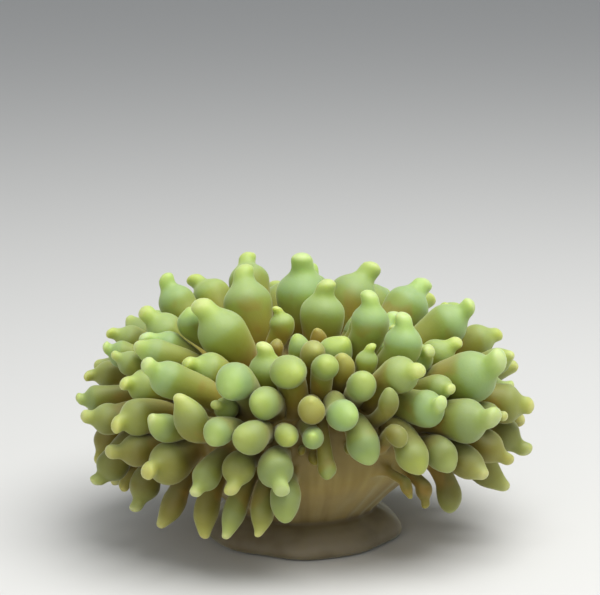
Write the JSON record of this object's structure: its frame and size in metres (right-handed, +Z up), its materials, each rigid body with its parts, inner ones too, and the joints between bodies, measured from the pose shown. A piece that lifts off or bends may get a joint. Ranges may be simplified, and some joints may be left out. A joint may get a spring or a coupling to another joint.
{
  "type": "bubble-tip sea anemone",
  "caption": "Life-size still model of a sea anemone: a broad foot, a flaring column and a dense oval crown of swollen, nippled tentacles round a small mouth.",
  "frame": {"origin": "middle of the underside of the model's box, on the surface it stands on, inside the foot's flat underside", "axes": "+Z up, +X to the right across the crown's long way as seen from the front, +Y to the back"},
  "size_m": [0.1186, 0.1098, 0.0717],
  "materials": {
    "tentacle": "soft, moist, faintly translucent flesh, olive stalks passing to grey-green bulbs with yellow-green tips",
    "mouth": "soft moist flesh with fine radial folds, orange-brown",
    "column": "soft smooth flesh with faint upright ribs, pinkish tan",
    "foot": "soft wrinkled flesh, dark olive-brown"
  },
  "bodies": {
    "root": {"brim_1": "tentacle", "brim_2": "tentacle", "brim_3": "tentacle", "brim_4": "tentacle", "brim_5": "tentacle", "brim_6": "tentacle", "brim_7": "tentacle", "brim_8": "tentacle", "brim_9": "tentacle", "column": "column", "crest_1": "tentacle", "crest_2": "tentacle", "crest_3": "tentacle", "crest_4": "tentacle", "crest_5": "tentacle", "crest_6": "tentacle", "crest_7": "tentacle", "foot": "foot", "hem_1": "tentacle", "hem_2": "tentacle", "hem_3": "tentacle", "hem_4": "tentacle", "hem_5": "tentacle", "hem_6": "tentacle", "hem_7": "tentacle", "hem_8": "tentacle", "inner_1": "tentacle", "inner_2": "tentacle", "inner_3": "tentacle", "inner_4": "tentacle", "lip_1": "tentacle", "lip_2": "tentacle", "mouth": "mouth", "shoulder_1": "tentacle", "shoulder_2": "tentacle", "shoulder_3": "tentacle", "shoulder_4": "tentacle", "shoulder_5": "tentacle", "shoulder_6": "tentacle", "shoulder_7": "tentacle", "shoulder_8": "tentacle", "shoulder_9": "tentacle", "skirt_1": "tentacle", "skirt_2": "tentacle", "skirt_3": "tentacle", "skirt_4": "tentacle", "skirt_5": "tentacle", "skirt_6": "tentacle", "skirt_7": "tentacle", "skirt_8": "tentacle", "skirt_9": "tentacle"}
  },
  "joints": []
}
